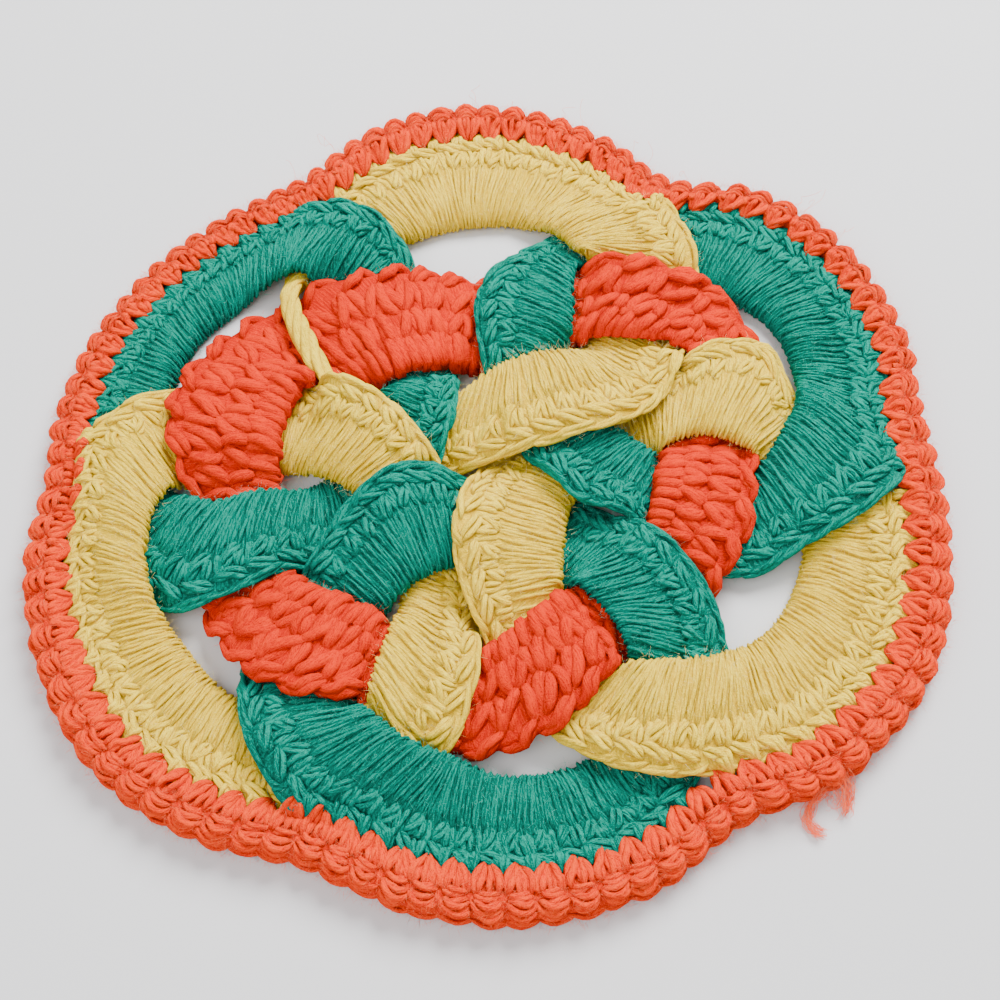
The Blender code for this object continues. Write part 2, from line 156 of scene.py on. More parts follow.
def fuzzMaterial(name, values):
    # loose fibres, from the yarn's light colour to its paler one by the fibre's own tone; the paler colour is
    # painted light, standing in for light shining through thin fibres
    graph = Graph(name)
    tone = graph.node("ShaderNodeAttribute", {"attribute_name": "tone"}, {}, out=2)
    graph.put(graph.shader.inputs["Base Color"], graph.mix(tone, rgba(values["light"]), rgba(values["pale"])))
    graph.put(graph.shader.inputs["Roughness"], 0.9)
    graph.put(graph.shader.inputs["Specular IOR Level"], 0.1)
    return graph.material


materials = {name: yarnMaterial(name + "Yarn", values) for name, values in yarns.items()}
materials.update({name + "Fuzz": fuzzMaterial(name + "Fuzz", values) for name, values in yarns.items()})
print("materials ready")


# where the solids' sections have their points: shares of the band's width, on top and underneath
bandKnots = {"top": (1.0, 0.95, 0.55, 0.25, 0.06, 0.0), "bottom": (0.06, 0.25, 0.55, 0.95)}
borderKnots = {"top": (1.0, 0.85, 0.49, 0.1, 0.0), "bottom": (0.1, 0.885)}


def smooth(a, b, c, d, t):
    # Catmull-Rom from b to c: (2b + (c-a)t + (2a-5b+4c-d)t^2 + (3b-3c+d-a)t^3) / 2
    return (2 * b + (c - a) * t + (2 * a - 5 * b + 4 * c - d) * t ** 2 + (3 * b - 3 * c + d - a) * t ** 3) / 2


def finer(values, axis, times):
    # a smooth curve through closed rows, with new rows between the old ones
    a, b, c, d = [np.roll(values, shift, axis=axis) for shift in (1, 0, -1, -2)]
    steps = [smooth(a, b, c, d, t) for t in np.arange(times) / times]
    shape = list(values.shape)
    shape[axis] *= times
    return np.stack(steps, axis=axis + 1).reshape(shape)


class Skin:
    # a solid's closed skin as a table of points: round the ring, then round its section
    def __init__(self, node, centre, sections, knots, times):
        # each vertex goes to the nearest angle and share; the rows between are worked out by finer
        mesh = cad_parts[node].data
        points = np.empty(len(mesh.vertices) * 3)
        mesh.vertices.foreach_get("co", points)
        points = points.reshape(-1, 3)
        self.centre = np.array(centre) * mm
        away = points[:, :2] - self.centre
        radius = np.hypot(away[:, 0], away[:, 1])
        turn = np.degrees(np.arctan2(away[:, 1], away[:, 0])) * sections / 360
        index = np.round(turn).astype(int) % sections
        self.inner, self.outer = np.full(sections, 9.0), np.zeros(sections)
        np.minimum.at(self.inner, index, radius)
        np.maximum.at(self.outer, index, radius)
        share = (radius - self.inner[index]) / (self.outer - self.inner)[index]
        columns = []
        for side, start, keep in (("top", -9.0, np.maximum), ("bottom", 9.0, np.minimum)):
            at = np.array(knots[side])
            height = np.full((sections, len(at)), start)
            keep.at(height, (index, np.abs(share[:, None] - at).argmin(1)), points[:, 2])
            away = self.inner[:, None] + (self.outer - self.inner)[:, None] * at
            columns.append(np.stack([away, height], axis=-1))
        table = finer(finer(np.concatenate(columns, axis=1), 0, times), 1, 8)
        self.knots = len(knots["top"]) + len(knots["bottom"])
        top, bottom = np.array(knots["top"]), np.array(knots["bottom"])
        above = np.concatenate([-bottom[::-1], top[::-1], 2 - bottom[::-1]])
        below = np.concatenate([-top, bottom, 2 - top])
        self.places = {False: (above, np.arange(len(above))[::-1] - len(bottom)),
                       True: (below, np.arange(len(below)))}
        turns = np.arange(len(table)) * 2 * np.pi / len(table)
        r, z = table[..., 0], table[..., 1]
        self.points = np.stack([self.centre[0] + r * np.cos(turns)[:, None],
                                self.centre[1] + r * np.sin(turns)[:, None], z], axis=-1)
        roundRing = np.roll(self.points, -1, 0) - np.roll(self.points, 1, 0)
        roundSection = np.roll(self.points, -1, 1) - np.roll(self.points, 1, 1)
        self.normals = unit(np.cross(roundRing, roundSection))

    def across(self, share, under=False):
        # share 0 is the inner edge, 1 the outer edge; past either it goes on round that edge
        return np.interp(share, *self.places[under])

    def read(self, table, degrees, u):
        # the table's value between its four nearest entries
        row = np.mod(degrees, 360) / 360 * len(table)
        column = np.mod(u, self.knots) / self.knots * table.shape[1]
        i, j = np.floor(row).astype(int), np.floor(column).astype(int)
        s, t = (row - i)[..., None], (column - j)[..., None]
        i, j, i1, j1 = i % len(table), j % table.shape[1], (i + 1) % len(table), (j + 1) % table.shape[1]
        return (table[i, j] * (1 - s) * (1 - t) + table[i1, j] * s * (1 - t)
                + table[i, j1] * (1 - s) * t + table[i1, j1] * s * t)

    def at(self, degrees, u, lift):
        # point = skin(angle, u) + lift * normal
        degrees, u, lift = np.broadcast_arrays(degrees, u, lift)
        normals = unit(self.read(self.normals, degrees, u))
        return self.read(self.points, degrees, u) + normals * lift[..., None], normals

    def width(self, degrees):
        # outer radius less inner radius
        return self.radius(degrees, 1.0) - self.radius(degrees, 0.0)

    def radius(self, degrees, share):
        # inner radius + share * (outer - inner)
        at = np.mod(degrees, 360) / 360 * len(self.inner)
        steps = np.arange(len(self.inner) + 1)
        inner, outer = [np.interp(at, steps, np.append(edge, edge[0])) for edge in (self.inner, self.outer)]
        return inner + (outer - inner) * share


def unit(vectors):
    # vector / its length
    return vectors / np.maximum(np.linalg.norm(vectors, axis=-1, keepdims=True), 1e-12)


class Yarn:
    # gathers strands and makes them one mesh
    def __init__(self, name, yarn, slot):
        self.name, self.yarn, self.slot = name, yarn, slot
        self.points, self.corners, self.counts, self.uv, self.tone, self.shade = [], [], [], [], [], []
        self.total = 0

    def add(self, path, up, halfWidth, halfHeight, plies=1, turns=0.0, sides=5, tone=None, shade=None):
        # ply k of n: centre = path + w cos(q) side + h sin(q) up, q = 2 pi (turns t + k / n); its skin is
        # centre + a cos(phi) side + b sin(phi) up, closed by a flat cap at each end
        count, steps = path.shape[:2]
        side = unit(np.cross(up, unit(np.gradient(path, axis=1))))
        widths, heights = [np.broadcast_to(h, (count, steps))[..., None] for h in (halfWidth, halfHeight)]
        if plies > 1:
            t = np.linspace(0, 1, steps)[None]
            start = spread(0, 1, (count, 1)) if turns else np.zeros((count, 1))
            turn = [2 * np.pi * (turns * t + start + k / plies)[..., None] for k in range(plies)]
            reach = 0.5 if plies == 2 else 0.62
            path = np.concatenate([path + reach * (widths * np.cos(q) * side + 0.8 * heights * np.sin(q) * up)
                                   for q in turn])
            up, side = np.tile(np.broadcast_to(up, side.shape), (plies, 1, 1)), np.tile(side, (plies, 1, 1))
            thin = 0.62 if plies == 2 else 0.52
            widths = np.tile(widths * thin, (plies, 1, 1))
            heights = np.tile(heights * (thin + 0.04), (plies, 1, 1))
            count *= plies
        along = unit(np.gradient(path, axis=1))
        side = unit(np.cross(up, along))
        up = np.cross(along, side)
        phi = np.arange(sides) * 2 * np.pi / sides - np.pi / 2
        points = (path[:, :, None] + widths[:, :, None] * np.cos(phi)[:, None] * side[:, :, None]
                  + heights[:, :, None] * np.sin(phi)[:, None] * up[:, :, None])
        points[..., 2] = np.maximum(points[..., 2], 0.04 * mm)
        steplength = np.linalg.norm(np.diff(path, axis=1), axis=-1) / mm
        length = np.concatenate([np.zeros((count, 1)), np.cumsum(steplength, axis=1)], axis=1)
        length = length + spread(0, 500, (count, 1))
        girth = float(np.mean(widths + heights)) * np.pi / mm
        index = self.total + np.arange(count * steps * sides).reshape(count, steps, sides)
        j, k = np.arange(sides), (np.arange(sides) + 1) % sides
        quads = np.stack([index[:, :-1, j], index[:, :-1, k], index[:, 1:, k], index[:, 1:, j]], axis=-1)
        v0 = np.broadcast_to(j * girth / sides, quads.shape[:-1])
        v1 = v0 + girth / sides
        l0 = np.broadcast_to(length[:, :-1, None], quads.shape[:-1])
        l1 = np.broadcast_to(length[:, 1:, None], quads.shape[:-1])
        uv = np.stack([np.stack([l0, v0], -1), np.stack([l0, v1], -1),
                       np.stack([l1, v1], -1), np.stack([l1, v0], -1)], axis=-2)
        caps = np.concatenate([index[:, 0, ::-1], index[:, -1, :]])
        self.points.append(points.reshape(-1, 3))
        self.corners += [quads.ravel(), caps.ravel()]
        self.counts += [np.full(quads[..., 0].size, 4), np.full(len(caps), sides)]
        flat = np.broadcast_to(np.array([0.0, 0.25]), (*caps.shape, 2))
        self.uv += [uv.reshape(-1, 2), flat.reshape(-1, 2)]
        tones = spread(0, 1, count) if tone is None else np.broadcast_to(tone, count)
        self.tone.append(np.repeat(tones, steps * sides))
        # painted shade: by default sin(phi), so each strand is lighter on its upper side and darker
        # underneath; a given value is the same all round
        self.shade.append(np.tile(np.sin(phi) if shade is None else np.full(sides, shade), count * steps))
        self.total += count * steps * sides

    def finish(self):
        # one mesh of all strands, with the strand map in mm, each strand's tone and its painted shade
        corners, counts = np.concatenate(self.corners), np.concatenate(self.counts)
        obj = meshObject(self.name, np.concatenate(self.points), corners, counts)
        layer = obj.data.uv_layers.new(name="strand")
        layer.data.foreach_set("uv", np.concatenate(self.uv).astype(np.float32).ravel())
        for name, values in (("tone", self.tone), ("shade", self.shade)):
            attribute = obj.data.attributes.new(name, "FLOAT", "POINT")
            attribute.data.foreach_set("value", np.concatenate(values).astype(np.float32))
        obj.data.materials.append(materials[self.yarn])
        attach(obj, "root")
        print(self.name, (counts - 2).sum(), "triangles")
        return obj


def meshObject(name, points, corners, counts):
    # a mesh from points, the faces' corners one after another, and how many each face has
    mesh = bpy.data.meshes.new(name)
    mesh.vertices.add(len(points))
    mesh.vertices.foreach_set("co", points.astype(np.float32).ravel())
    mesh.loops.add(len(corners))
    mesh.loops.foreach_set("vertex_index", corners.astype(np.int32))
    mesh.polygons.add(len(counts))
    mesh.polygons.foreach_set("loop_start", (np.cumsum(counts) - counts).astype(np.int32))
    mesh.update(calc_edges=True)
    mesh.validate()
    mesh.shade_smooth()
    obj = bpy.data.objects.new(name, mesh)
    bpy.context.scene.collection.objects.link(obj)
    return obj


def base(skin, name, yarn, lift, steps, places):
    # the closed cloth under the stitches: skin(angle, u) sunk by lift
    degrees = np.arange(steps)[:, None] * 360 / steps
    u = np.arange(places)[None] * skin.knots / places
    points, _ = skin.at(degrees, u, lift)
    points[..., 2] = np.maximum(points[..., 2], 0.05 * mm)
    index = np.arange(steps * places).reshape(steps, places)
    ahead, beside = np.roll(index, -1, 0), np.roll(index, -1, 1)
    quads = np.stack([index, ahead, np.roll(ahead, -1, 1), beside], axis=-1)
    obj = meshObject(name, points.reshape(-1, 3), quads.ravel(), np.full(quads[..., 0].size, 4))
    layer = obj.data.uv_layers.new(name="strand")
    rows = np.arange(steps)[:, None] + np.array([0, 1, 1, 0])
    columns = np.arange(places)[:, None] + np.array([0, 0, 1, 1])
    girth = 2.6 * float(np.mean(skin.outer - skin.inner)) / mm
    around = 2 * np.pi * float(np.mean(skin.inner)) / mm
    uv = np.stack(np.broadcast_arrays(columns[None] / places * girth, rows[:, None] / steps * around), -1)
    layer.data.foreach_set("uv", uv.astype(np.float32).ravel())
    # painted shade: the cloth gets a painted shade of -0.9, near the dark end of the ramp, for the shade in
    # the gaps between the stitches
    for attribute, value in (("tone", 0.4), ("shade", -0.9)):
        values = obj.data.attributes.new(attribute, "FLOAT", "POINT")
        values.data.foreach_set("value", np.full(steps * places, value, np.float32))
    obj.data.materials.append(materials[yarn])
    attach(obj, "root")
    return obj


def taper(t, sharpness=8):
    # full in the middle and round at both ends: sqrt(1 - |2t - 1|^sharpness)
    return np.sqrt(np.maximum(1 - np.abs(2 * t - 1) ** sharpness, 0.06))


posting = {"end": 0.64, "steps": 16, "lean": 0.45, "lift": -0.35, "height": 0.66, "fullness": 1.02,
           "turns": 1.6}
rings = {
    "ring_top_cream": {"centre": (0.26, 45.76), "yarn": "cream", "stitches": 48, "bare": (176, 229)},
    "ring_right_green": {"centre": (44.76, 23.76), "yarn": "green", "stitches": 48},
    "ring_lowright_cream": {"centre": (42.26, -21.24), "yarn": "cream", "stitches": 50},
    "ring_bottom_green": {"centre": (0.26, -47.24), "yarn": "green", "stitches": 48},
    "ring_left_cream": {"centre": (-46.24, -27.24), "yarn": "cream", "stitches": 48},
    "ring_topleft_green": {"centre": (-47.24, 18.26), "yarn": "green", "stitches": 48},
    "ring_middle_orange": {"centre": (-4.24, -8.24), "yarn": "orange", "stitches": 46, "chunky": True},
}
# a strand each row: angle and share at its start, middle and end (angles in stitches), half width and half
# height in mm, lift over the solid's skin, sink of its ends, plies
edgeRows = [
    (0.05, 0.58, -0.14, 0.67, -0.36, 0.77, 1.3, 0.85, 0.05, 0.5, 3),
    (0.06, 0.62, 0.14, 0.70, 0.28, 0.80, 1.3, 0.85, -0.1, 0.5, 3),
    (0.42, 0.60, 0.50, 0.70, 0.56, 0.82, 1.2, 0.85, -0.35, 0.5, 2),
    (-0.56, 0.80, 0.00, 0.84, 0.54, 0.90, 1.45, 0.95, 0.05, 0.5, 3),
    (-0.85, 0.985, 0.00, 0.985, 0.80, 0.95, 1.2, 0.95, -0.2, 0.3, 2),
]
underRows = [
    (-0.02, 0.60, -0.18, 0.69, -0.30, 0.79, 1.2, 0.8, -0.7, 0.4, 1),
    (0.06, 0.60, 0.17, 0.69, 0.26, 0.79, 1.15, 0.8, -0.7, 0.4, 1),
    (-0.56, 0.82, 0.00, 0.84, 0.52, 0.89, 1.45, 0.8, -0.7, 0.4, 1),
]
chunkyRows = [
    (-0.72, 1.02, -0.10, 0.98, 0.42, 0.84, 2.1, 1.6, 0.25, 0.9, 2),
    (0.05, 0.52, -0.20, 0.68, -0.40, 0.86, 2.5, 1.5, -0.1, 0.8, 2),
    (0.10, 0.54, 0.30, 0.70, 0.42, 0.88, 2.5, 1.5, -0.2, 0.8, 2),
    (-0.36, 0.24, -0.24, 0.40, 0.00, 0.56, 2.5, 1.5, -0.1, 0.8, 2),
    (0.32, 0.24, 0.26, 0.40, 0.06, 0.58, 2.5, 1.5, -0.2, 0.8, 2),
    (-0.26, -0.16, -0.32, 0.08, -0.18, 0.33, 2.4, 1.4, -0.2, 0.6, 2),
    (0.24, -0.16, 0.18, 0.08, 0.30, 0.33, 2.4, 1.4, -0.2, 0.6, 2),
]
chunkyUnderRows = [
    (-0.30, 0.50, -0.10, 0.68, 0.10, 0.95, 2.1, 1.0, -0.9, 0.3, 1),
    (0.20, 0.50, 0.40, 0.68, 0.60, 0.95, 2.1, 1.0, -0.9, 0.3, 1),
    (-0.18, 0.05, -0.28, 0.28, -0.20, 0.56, 2.1, 1.0, -0.9, 0.3, 1),
    (0.32, 0.05, 0.22, 0.28, 0.30, 0.56, 2.1, 1.0, -0.9, 0.3, 1),
]


def plainName(node):
    # ring_top_cream becomes ringTopCream
    words = node.split("_")
    return words[0] + "".join(word.capitalize() for word in words[1:])


def keptStitches(plan):
    # stitch angles round the ring, without the stretch that is bare strand
    degrees = (np.arange(plan["stitches"]) + spread(-0.06, 0.06, plan["stitches"])) * 360 / plan["stitches"]
    low, high = plan.get("bare", (0, 0))
    return degrees[(degrees < low) | (degrees > high)]


def wander(degrees, size):
    # a smooth random change round the ring: sum of a_k sin(k angle + b_k)
    waves = np.arange(3, 15)
    heights, starts = spread(-1, 1, len(waves)), spread(0, 2 * np.pi, len(waves))
    return size * (heights * np.sin(np.radians(degrees)[..., None] * waves + starts)).sum(-1) / 2


def posts(yarn, skin, plan, degrees):
    # three strands a stitch, from the head over the top, round the inner edge and back underneath
    pitch = 360 / plan["stitches"]
    start = (degrees[:, None] + np.array([-1, 0, 1]) * pitch / 3).ravel()
    start = (start + spread(-0.04, 0.04, start.shape) * pitch)[:, None]
    t = np.linspace(0, 1, posting["steps"])[None]
    first, last = skin.across(posting["end"]), skin.across(posting["end"], under=True)
    u = first + (last - first) * t + spread(-0.12, 0.06, start.shape)
    lean = pitch * (posting["lean"] + wander(start, 0.25) + spread(-0.08, 0.08, start.shape))
    angle = start + lean * np.sin(np.pi * t) + wander(start, 0.1) * pitch * np.sin(2 * np.pi * t)
    lift = (posting["lift"] - 0.35 * np.clip(2 * t - 1, 0, 1) + spread(-0.12, 0.12, start.shape)) * mm
    path, normals = skin.at(angle, u, lift)
    radius = np.hypot(path[..., 0] - skin.centre[0], path[..., 1] - skin.centre[1])
    halfWidth = radius * np.radians(pitch / 6) * posting["fullness"] * spread(0.92, 1.12, start.shape)
    ends = taper(t, 24)
    yarn.add(path, normals, halfWidth * ends, posting["height"] * mm * ends,
             plies=2, turns=posting["turns"], sides=4)


def crossStrands(yarn, skin, pitch, degrees, rows, under=False, steps=7, sides=5, blunt=4):
    # each row's strand at every stitch, a parabola through its three places
    t = np.linspace(0, 1, steps)[None]
    shape = (len(degrees), 1)
    for a0, s0, a1, s1, a2, s2, width, height, lift, sink, plies in rows:
        angle = bend([a + spread(-0.09, 0.09, shape) for a in (a0, a1, a2)], t) * pitch + degrees[:, None]
        share = bend([s + spread(-0.022, 0.022, shape) for s in (s0, s1, s2)], t)
        narrow = np.clip(skin.width(angle) / (14 * mm), 0.35, 1)
        rise = (lift - sink * (2 * t - 1) ** 2 + spread(-0.15, 0.15, shape)) * mm
        path, normals = skin.at(angle, skin.across(share, under), rise)
        plump = narrow * taper(t, blunt) * mm * spread(0.9, 1.12, shape)
        yarn.add(path, normals, width * plump, height * plump,
                 plies=plies, turns=0.35 if plies > 1 else 0, sides=sides)


def bend(values, t):
    # a parabola through three values at t = 0, 1/2 and 1
    a, b, c = values
    return a * (1 - t) * (1 - 2 * t) + 4 * b * t * (1 - t) + c * t * (2 * t - 1)


def stitchRing(node, plan, skin):
    # all strands of one ring, over it and under it
    yarn = Yarn(plainName(node) + "Stitches", plan["yarn"], plan["yarn"] + "_yarn")
    degrees, pitch = keptStitches(plan), 360 / plan["stitches"]
    if plan.get("chunky"):
        crossStrands(yarn, skin, pitch, degrees, chunkyRows, steps=8, blunt=3)
        crossStrands(yarn, skin, pitch, degrees, chunkyUnderRows, under=True, sides=6)
    else:
        posts(yarn, skin, plan, degrees)
        crossStrands(yarn, skin, pitch, degrees, edgeRows)
        crossStrands(yarn, skin, pitch, degrees, underRows, under=True, steps=6)
    if "bare" in plan:
        bareStrand(yarn, skin, plan)
    return yarn


ringCloth = {"lift": -0.45, "steps": 120, "places": 20}


def layCloth(node, plan, skin, stitches):
    name = plainName(node)
    cloth = base(skin, name + "Cloth", plan["yarn"],
                 ringCloth["lift"] * mm, ringCloth["steps"], ringCloth["places"])
    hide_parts(node)
    halfSurface(cloth)


# overlap in degrees under the stitches at both ends, sizes in mm
bareCore = {"overlap": 6, "steps": 60, "lift": -0.9, "halfWidth": 2.3, "halfHeight": 1.4, "plies": 4,
            "turns": 2.4}


def bareStrand(yarn, skin, plan):
    # plies twisted along the ring's bare stretch, down the middle of its solid
    (low, high), over = plan["bare"], bareCore["overlap"]
    t = np.linspace(0, 1, bareCore["steps"])[None]
    angle = (low - over) + (high - low + 2 * over) * t
    path, normals = skin.at(angle, skin.across(0.5 + 0 * t), bareCore["lift"] * mm)
    ends = taper(t, 30)
    yarn.add(path, normals, bareCore["halfWidth"] * mm * ends, bareCore["halfHeight"] * mm * ends,
             plies=bareCore["plies"], turns=bareCore["turns"], sides=7)


def halfSurface(obj):
    # one side of a closed flat piece: half the sum of its faces
    areas = np.empty(len(obj.data.polygons))
    obj.data.polygons.foreach_get("area", areas)
    return float(areas.sum()) / 2


skins = {node: Skin(node, plan["centre"], 72, bandKnots, 4) for node, plan in rings.items()}
ringYarns = {node: stitchRing(node, plan, skins[node]) for node, plan in rings.items()}
print("rings ready")


def ringTops():
    # one tree of all rings' solids, and for each face the number of its ring
    points, faces, owners, start = [], [], [], 0
    for number, node in enumerate(rings):
        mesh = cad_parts[node].data
        places, corners = np.empty(len(mesh.vertices) * 3), np.empty(len(mesh.loops), np.int32)
        mesh.vertices.foreach_get("co", places)
        mesh.loops.foreach_get("vertex_index", corners)
        points.append(places.reshape(-1, 3))
        faces.append(corners.reshape(-1, 3) + start)
        owners.append(np.full(len(corners) // 3, number))
        start += len(mesh.vertices)
    tree = BVHTree.FromPolygons(np.concatenate(points).tolist(), np.concatenate(faces).tolist())
    return tree, np.concatenate(owners)


def topAt(tree, x, y, missing):
    # height of the highest ring over (x, y) and that ring's number
    heights, owners = np.full(x.shape, missing), np.full(x.shape, -1)
    for i, (px, py) in enumerate(zip(x, y)):
        hit = tree[0].ray_cast(Vector((px, py, 0.1)), Vector((0, 0, -1)))
        if hit[0] is not None:
            heights[i], owners[i] = hit[0].z, tree[1][hit[2]]
    return heights, owners


def curveThrough(stops, steps):
    # the same smooth curve through an open row of points, n strands at once
    stops = np.stack(stops, axis=1)
    ends = np.concatenate([2 * stops[:, :1] - stops[:, 1:2], stops, 2 * stops[:, -1:] - stops[:, -2:-1]], 1)
    at = np.linspace(0, stops.shape[1] - 1 - 1e-9, steps)
    i, t = at.astype(int), (at % 1)[:, None]
    return smooth(*[ends[:, i + k] for k in range(4)], t)


# for each leg of a tooth: place of its tip and of its foot in stitches, the tip's reach, half width and
# lift in mm
teeth = [(0.00, 0.05, 2.7, 1.2, 0.0), (0.03, 0.36, 2.6, 1.35, 0.2), (-0.06, -0.36, 3.0, 1.5, 0.3)]


def legs(yarn, skin, tree, degrees, pitch, tip, foot, spike, width, lift):
    # from the tooth's tip on a ring's edge down to the foot under the border's beads
    n = len(degrees)
    inner = skin.radius(degrees, 0.0)
    stops = []
    for reach, share, rise in ((-1.0, 0.0, 0.1), (-0.5, 0.4, 1.0), (0.1, 0.8, 0.85)):
        r = inner + reach * (spike + spread(-0.3, 0.3, n)) * mm
        turn = np.radians(degrees + (tip + (foot - tip) * share + spread(-0.02, 0.02, n)) * pitch)
        x, y = skin.centre[0] + r * np.cos(turn), skin.centre[1] + r * np.sin(turn)
        floor = np.maximum(topAt(tree, x, y, 4 * mm)[0], 5 * mm if reach > 0 else 4 * mm)
        stops.append(np.stack([x, y, floor + (rise + lift) * mm], axis=-1))
    stops[0][:, 2] = np.minimum(stops[0][:, 2], stops[1][:, 2] + 1.2 * mm)
    for share, rise in ((0.22, 0.25), (0.42, -0.4)):
        point, _ = skin.at(degrees + foot * pitch, skin.across(share), (rise + lift) * mm * np.ones(n))
        stops.append(point)
    path = curveThrough(stops, 10)
    up = np.broadcast_to(np.array([0.0, 0.0, 1.0]), path.shape)
    t = np.linspace(0, 1, 10)[None]
    size = taper(t, 4) * np.minimum(0.42 + 1.5 * t, 1) * spread(0.92, 1.1, (n, 1)) * mm
    yarn.add(path, up, width * size, 1.1 * size, plies=2, turns=0.3)


def levelled(stops):
    # a stop that lies far below the ones beside it is raised to 1.8 mm under the higher of them
    heights = [stop[:, 2].copy() for stop in stops]
    for i, stop in enumerate(stops):
        beside = np.maximum(heights[max(i - 1, 0)], heights[min(i + 1, len(stops) - 1)])
        stop[:, 2] = np.maximum(heights[i], beside - 1.8 * mm)


def tufts(yarns, skin, tree, degrees, pitch):
    # ring yarn standing up between the teeth, narrowing to a point at the border
    inner = skin.radius(degrees, 0.0)
    for side in (-0.13, 0.1):
        stops = []
        for reach, share, rise in ((-4.6, 1.3, -0.3), (-2.9, 1.0, 0.55), (-1.2, 0.5, 0.5), (0.3, 0.2, 0.2)):
            r = inner + (reach + spread(-0.2, 0.2, len(degrees))) * mm
            turn = np.radians(degrees + (0.5 + side * share) * pitch)
            x, y = skin.centre[0] + r * np.cos(turn), skin.centre[1] + r * np.sin(turn)
            z, node = topAt(tree, x, y, 4 * mm)
            if reach == -4.6:
                owner = node
            elif reach == -2.9:
                owner = np.where(owner == node, owner, -1)
            stops.append(np.stack([x, y, np.maximum(z, 4 * mm) + rise * mm], axis=-1))
        levelled(stops)
        path = curveThrough(stops, 7)
        t = np.linspace(0, 1, 7)[None]
        size = taper(t, 6) * (1.15 - 0.6 * t) * spread(0.9, 1.1, (len(degrees), 1)) * mm
        up = np.broadcast_to(np.array([0.0, 0.0, 1.0]), path.shape)
        for number, node in enumerate(rings):
            mine = owner == number
            if mine.any():
                yarns[node].add(path[mine], up[mine], 1.1 * size[mine], 0.9 * size[mine], plies=2, turns=0.3)


# rows as for the rings: the beads on top, then the rim round the edge and underneath
beadRows = [
    (-0.44, 0.36, 0.00, 0.47, 0.44, 0.36, 1.6, 1.35, 0.2, 1.2, 2),
    (-0.48, 0.58, 0.00, 0.72, 0.48, 0.58, 2.3, 1.8, 0.3, 0.9, 3),
    (-0.50, 0.80, 0.02, 0.88, 0.50, 0.80, 1.8, 1.6, 0.1, 0.7, 2),
    (-0.60, 0.96, 0.05, 1.04, 0.60, 0.98, 1.4, 1.2, -0.3, 0.3, 2),
]
rimRows = [
    (-0.10, 1.13, 0.40, 1.22, 1.00, 1.13, 1.5, 1.2, -0.7, 0.3, 2),
    (-0.52, 1.42, 0.0, 1.5, 0.52, 1.42, 1.5, 1.1, -1.0, 0.2, 1),
    (-0.52, 1.7, 0.0, 1.76, 0.52, 1.7, 1.5, 1.1, -1.0, 0.2, 1),
]

borderStitch = {"count": 100, "centre": (-0.24, 0.76)}
borderSkin = Skin("border_orange", borderStitch["centre"], 200, borderKnots, 2)
borderYarn = Yarn("borderStitches", "coral", "coral_yarn")
borderPitch = 360 / borderStitch["count"]
borderDegrees = (np.arange(borderStitch["count"]) + spread(-0.06, 0.06, borderStitch["count"])) * borderPitch
under = ringTops()
for tooth in teeth:
    legs(borderYarn, borderSkin, under, borderDegrees, borderPitch, *tooth)
crossStrands(borderYarn, borderSkin, borderPitch, borderDegrees, beadRows, steps=8)
crossStrands(borderYarn, borderSkin, borderPitch, borderDegrees, rimRows)
tufts(ringYarns, borderSkin, under, borderDegrees, borderPitch)
for node, plan in rings.items():
    layCloth(node, plan, skins[node], ringYarns[node].finish())


# the frayed end's locks: their route in mm, how many fibres, how far off it they stray at both ends, radius
tail = [
    {"route": [(67.0, -73.2, 4.5), (65.6, -74.9, 2.6), (64.0, -76.9, 1.6), (63.4, -79.4, 1.3),
               (64.6, -81.6, 1.1), (66.4, -82.3, 1.0)],
     "fibres": 46, "spread": (0.9, 1.0), "radius": (0.025, 0.06)},
    {"route": [(69.1, -69.8, 5.5), (70.7, -71.6, 4.4), (71.7, -73.5, 2.8), (71.6, -75.7, 1.8),
               (70.7, -78.2, 1.2)],
     "fibres": 46, "spread": (1.3, 1.2), "radius": (0.025, 0.06)},
    {"route": [(68.3, -69.5, 5.6), (68.8, -72.2, 3.8), (69.6, -75.0, 2.2), (70.0, -77.2, 1.4)],
     "fibres": 34, "spread": (2.4, 2.6), "radius": (0.02, 0.045)},
]


def frayedEnd():
    # each fibre = the lock's route + an offset growing from one spread to the other + a small wave
    yarn = Yarn("borderYarnEnd", "coralFuzz", "coral_yarn")
    t = np.linspace(0, 1, 15)[None, :, None]
    for lock in tail:
        n, (near, far) = lock["fibres"], lock["spread"]
        path = curveThrough([np.tile(np.array(p) * mm, (n, 1)) for p in lock["route"]], 15)
        flat = np.array([1.0, 1.0, 0.45])
        off = np.clip(chance.normal(0, 0.55, (n, 1, 3)), -1.2, 1.2) * flat * (near + (far - near) * t) * mm
        wave = np.sin(t * spread(6, 22, (n, 1, 3)) + spread(0, 6.3, (n, 1, 3)))
        path = path + off + wave * spread(0.2, 0.8, (n, 1, 1)) * mm
        path[..., 2] = np.maximum(path[..., 2], 0.12 * mm)
        up = np.broadcast_to(np.array([0.0, 0.0, 1.0]), path.shape)
        size = spread(*lock["radius"], (n, 1)) * mm * taper(t[..., 0], 10)
        # painted light: a painted shade of 1.5, which the fuzz material does not read
        yarn.add(path, up, size, size, sides=4, shade=1.5)
    return yarn.finish()


borderBase = {"lift": -0.6, "steps": 300, "places": 21}
borderCloth = base(borderSkin, "borderCloth", "coral",
                   borderBase["lift"] * mm, borderBase["steps"], borderBase["places"])
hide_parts("border_orange")
borderStitches, yarnEnd = borderYarn.finish(), frayedEnd()
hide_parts("border_yarn_end")
halfSurface(borderCloth)
print("border ready")


fuzz = {"ring": 3600, "middle": 6000, "border": 18500, "length": (0.9, 2.9), "radius": (0.018, 0.03)}
strays = {"count": 16, "angles": (35, 125), "length": (4.0, 10.0), "radius": 0.035}


